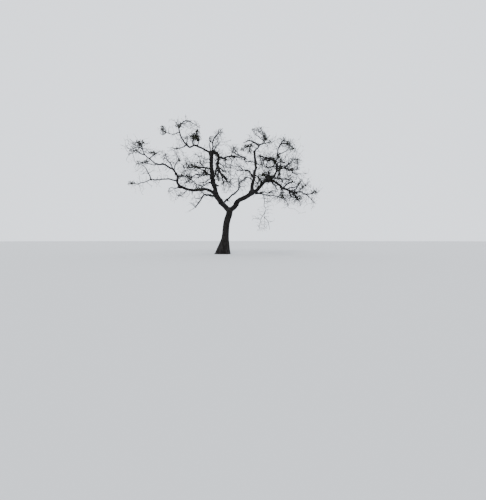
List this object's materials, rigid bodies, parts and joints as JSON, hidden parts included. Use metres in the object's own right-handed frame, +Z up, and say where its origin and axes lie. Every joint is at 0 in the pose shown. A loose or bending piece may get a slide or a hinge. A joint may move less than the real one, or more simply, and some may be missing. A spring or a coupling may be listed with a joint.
{
  "type": "bare thorn tree",
  "caption": "Wide, low-forked, nearly leafless tree: leaning trunk with a root flare, two main boughs, crooked spreading limbs and thin masses of fine twigs at their ends.",
  "frame": {"origin": "middle of the trunk's flat cut at ground level, the mount named ground", "axes": "+Z up, +X to the right of the tree as it is usually seen, +Y to its far side"},
  "size_m": [8.2988, 6.5892, 5.5398],
  "materials": {
    "trunk_bark": "deeply fissured weathered bark, matte",
    "bough_bark": "ridged weathered bark, matte",
    "limb_bark": "thin grey-brown bark, matte",
    "twig_mass": "fine grey-brown twigs with small dry olive leaf tufts, matte"
  },
  "bodies": {
    "root": {"trunk": "trunk_bark", "left_main_bough": "bough_bark", "left_upper_bough": "bough_bark", "arch_bough": "bough_bark", "arch_side_limb": "limb_bark", "top_left_bough": "limb_bark", "top_far_left_limb": "limb_bark", "top_knot_limb": "limb_bark", "crown_leader": "limb_bark", "left_middle_limb": "limb_bark", "left_front_limb": "limb_bark", "left_back_limb": "limb_bark", "low_left_bough": "bough_bark", "low_left_riser": "limb_bark", "far_left_limb": "limb_bark", "far_left_low_limb": "limb_bark", "left_level_limb": "limb_bark", "left_drooping_limb": "limb_bark", "centre_limb": "limb_bark", "right_main_bough": "bough_bark", "right_upright_bough": "bough_bark", "right_top_limb": "limb_bark", "right_top_left_limb": "limb_bark", "right_inner_limb": "limb_bark", "right_far_back_limb": "limb_bark", "right_leaning_bough": "bough_bark", "right_front_limb": "limb_bark", "right_riser": "limb_bark", "right_crown_limb": "limb_bark", "right_back_limb": "limb_bark", "right_cross_limb": "limb_bark", "right_middle_limb": "limb_bark", "right_low_bough": "limb_bark", "right_far_tip_limb": "limb_bark", "right_low_drop_limb": "limb_bark", "right_low_front_limb": "limb_bark", "right_under_limb": "bough_bark", "hanging_twig": "limb_bark", "far_left_crown_mass": "twig_mass", "far_left_low_mass": "twig_mass", "left_level_mass": "twig_mass", "top_far_left_mass": "twig_mass", "top_left_mass": "twig_mass", "top_knot_mass": "twig_mass", "crown_top_mass": "twig_mass", "arch_end_mass": "twig_mass", "arch_side_mass": "twig_mass", "left_middle_mass": "twig_mass", "left_front_mass": "twig_mass", "left_back_mass": "twig_mass", "right_top_left_mass": "twig_mass", "right_top_mass": "twig_mass", "right_crown_mass": "twig_mass", "right_back_mass": "twig_mass", "right_middle_mass": "twig_mass", "right_front_mass": "twig_mass", "right_low_mass": "twig_mass", "right_far_tip_mass": "twig_mass", "right_low_front_mass": "twig_mass", "right_far_back_mass": "twig_mass"}
  },
  "joints": []
}
